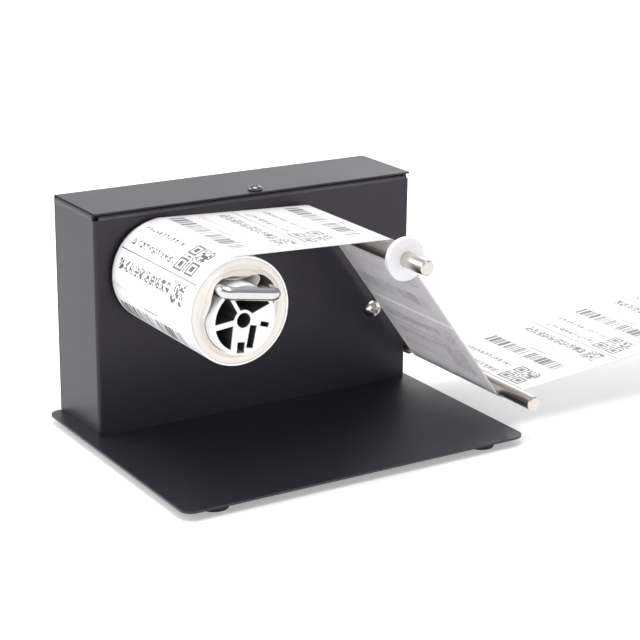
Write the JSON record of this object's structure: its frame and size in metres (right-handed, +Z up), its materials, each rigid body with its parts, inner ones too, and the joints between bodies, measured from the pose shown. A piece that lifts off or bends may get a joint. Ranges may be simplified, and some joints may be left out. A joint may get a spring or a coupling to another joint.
{
  "type": "label rewinder",
  "caption": "Label rewinder: sheet metal box on a base plate, driven spindle winding a label roll, fixed upper guide rod with collar, lower guide rod on a sprung swing arm.",
  "frame": {"origin": "on the surface the feet stand on, under the middle of the base plate", "axes": "+Z up, the spindle and the guide rods point towards -Y, the web runs out towards +X"},
  "size_m": [0.4687, 0.2285, 0.1592],
  "materials": {
    "black_coat": "matte",
    "black_screw": "satin",
    "bright_steel": "polished",
    "zinc_steel": "satin",
    "spring_steel": "satin",
    "bronze": "satin",
    "black_rubber": "matte",
    "white_plastic": "satin",
    "white_nylon": "satin",
    "label_stock": "satin",
    "black_plastic": "matte",
    "red_plastic": "gloss",
    "circuit_board": "satin"
  },
  "bodies": {
    "frame": {"base_plate": "black_coat", "front_shell": "black_coat", "rear_cover": "black_coat", "lid_screw": "black_screw", "back_screws": "black_screw", "standoff_screws": "black_screw", "motor_plate_screws": "black_screw", "pivot_screw": "bright_steel", "upper_guide_rod": "bright_steel", "base_screws": "zinc_steel", "base_nuts": "zinc_steel", "lid_nut": "zinc_steel", "back_nuts": "zinc_steel", "motor_plate": "zinc_steel", "motor_plate_nuts": "zinc_steel", "gearbox_screws": "zinc_steel", "upper_rod_screw": "zinc_steel", "pivot_washers": "zinc_steel", "pivot_nut": "zinc_steel", "arm_stop": "zinc_steel", "spring_post": "zinc_steel", "switch_bracket": "zinc_steel", "switch_screws": "zinc_steel", "board_screws": "zinc_steel", "gearbox_housing": "zinc_steel", "motor_can": "zinc_steel", "inlet_nut": "zinc_steel", "pot_nut": "zinc_steel", "return_spring": "spring_steel", "spindle_bush": "bronze", "board_standoffs": "bronze", "rubber_feet": "black_rubber", "label_web_top": "label_stock", "label_web_span": "label_stock", "limit_switch": "black_plastic", "rocker_housing": "black_plastic", "power_inlet": "black_plastic", "potentiometer": "black_plastic", "board_components": "black_plastic", "control_board": "circuit_board"},
    "spindle": {"spindle_shaft": "zinc_steel", "mandrel": "white_plastic", "mandrel_screw": "zinc_steel", "label_roll": "label_stock"},
    "fork": {"clamp_fork": "bright_steel"},
    "collar": {"guide_collar": "white_nylon"},
    "arm": {"swing_arm": "black_coat", "arm_bush": "bronze", "lower_guide_rod": "bright_steel", "lower_rod_screw": "zinc_steel", "label_web_tail": "label_stock"},
    "plunger": {"switch_plunger": "red_plastic"},
    "rocker": {"rocker_button": "red_plastic"},
    "knob": {"speed_knob": "black_plastic", "pot_shaft": "zinc_steel"}
  },
  "joints": [
    {"name": "spindle_turn", "type": "hinge", "parent": "frame", "child": "spindle", "pos_m": [-0.07344, -0.021, 0.11104], "axis": [0, 1, 0], "continuous": true},
    {"name": "fork_pull", "type": "slide", "parent": "spindle", "child": "fork", "axis": [0, -1, 0], "range_m": [0, 0.07]},
    {"name": "collar_slide", "type": "slide", "parent": "frame", "child": "collar", "axis": [0, -1, 0], "range_m": [-0.014, 0.018]},
    {"name": "arm_swing", "type": "hinge", "parent": "frame", "child": "arm", "pos_m": [0.0949, 0.0437, 0.0616], "axis": [0, -1, 0], "range_deg": [0, 28], "stiffness_Nm_per_rad": 0.05, "springref_deg": -11.46, "deforming": ["label_web_span", "label_web_tail", "return_spring"]},
    {"name": "plunger_press", "type": "slide", "parent": "frame", "child": "plunger", "axis": [0, 0, 1], "range_m": [0, 0.001], "stiffness_N_per_m": 200, "springref_m": -0.002},
    {"name": "rocker_tilt", "type": "hinge", "parent": "frame", "child": "rocker", "pos_m": [-0.0545, 0.097, 0.0425], "axis": [1, 0, 0], "range_deg": [-9, 9]},
    {"name": "knob_turn", "type": "hinge", "parent": "frame", "child": "knob", "pos_m": [-0.0165, 0.099, 0.0425], "axis": [0, 1, 0], "range_deg": [-150, 150]}
  ]
}
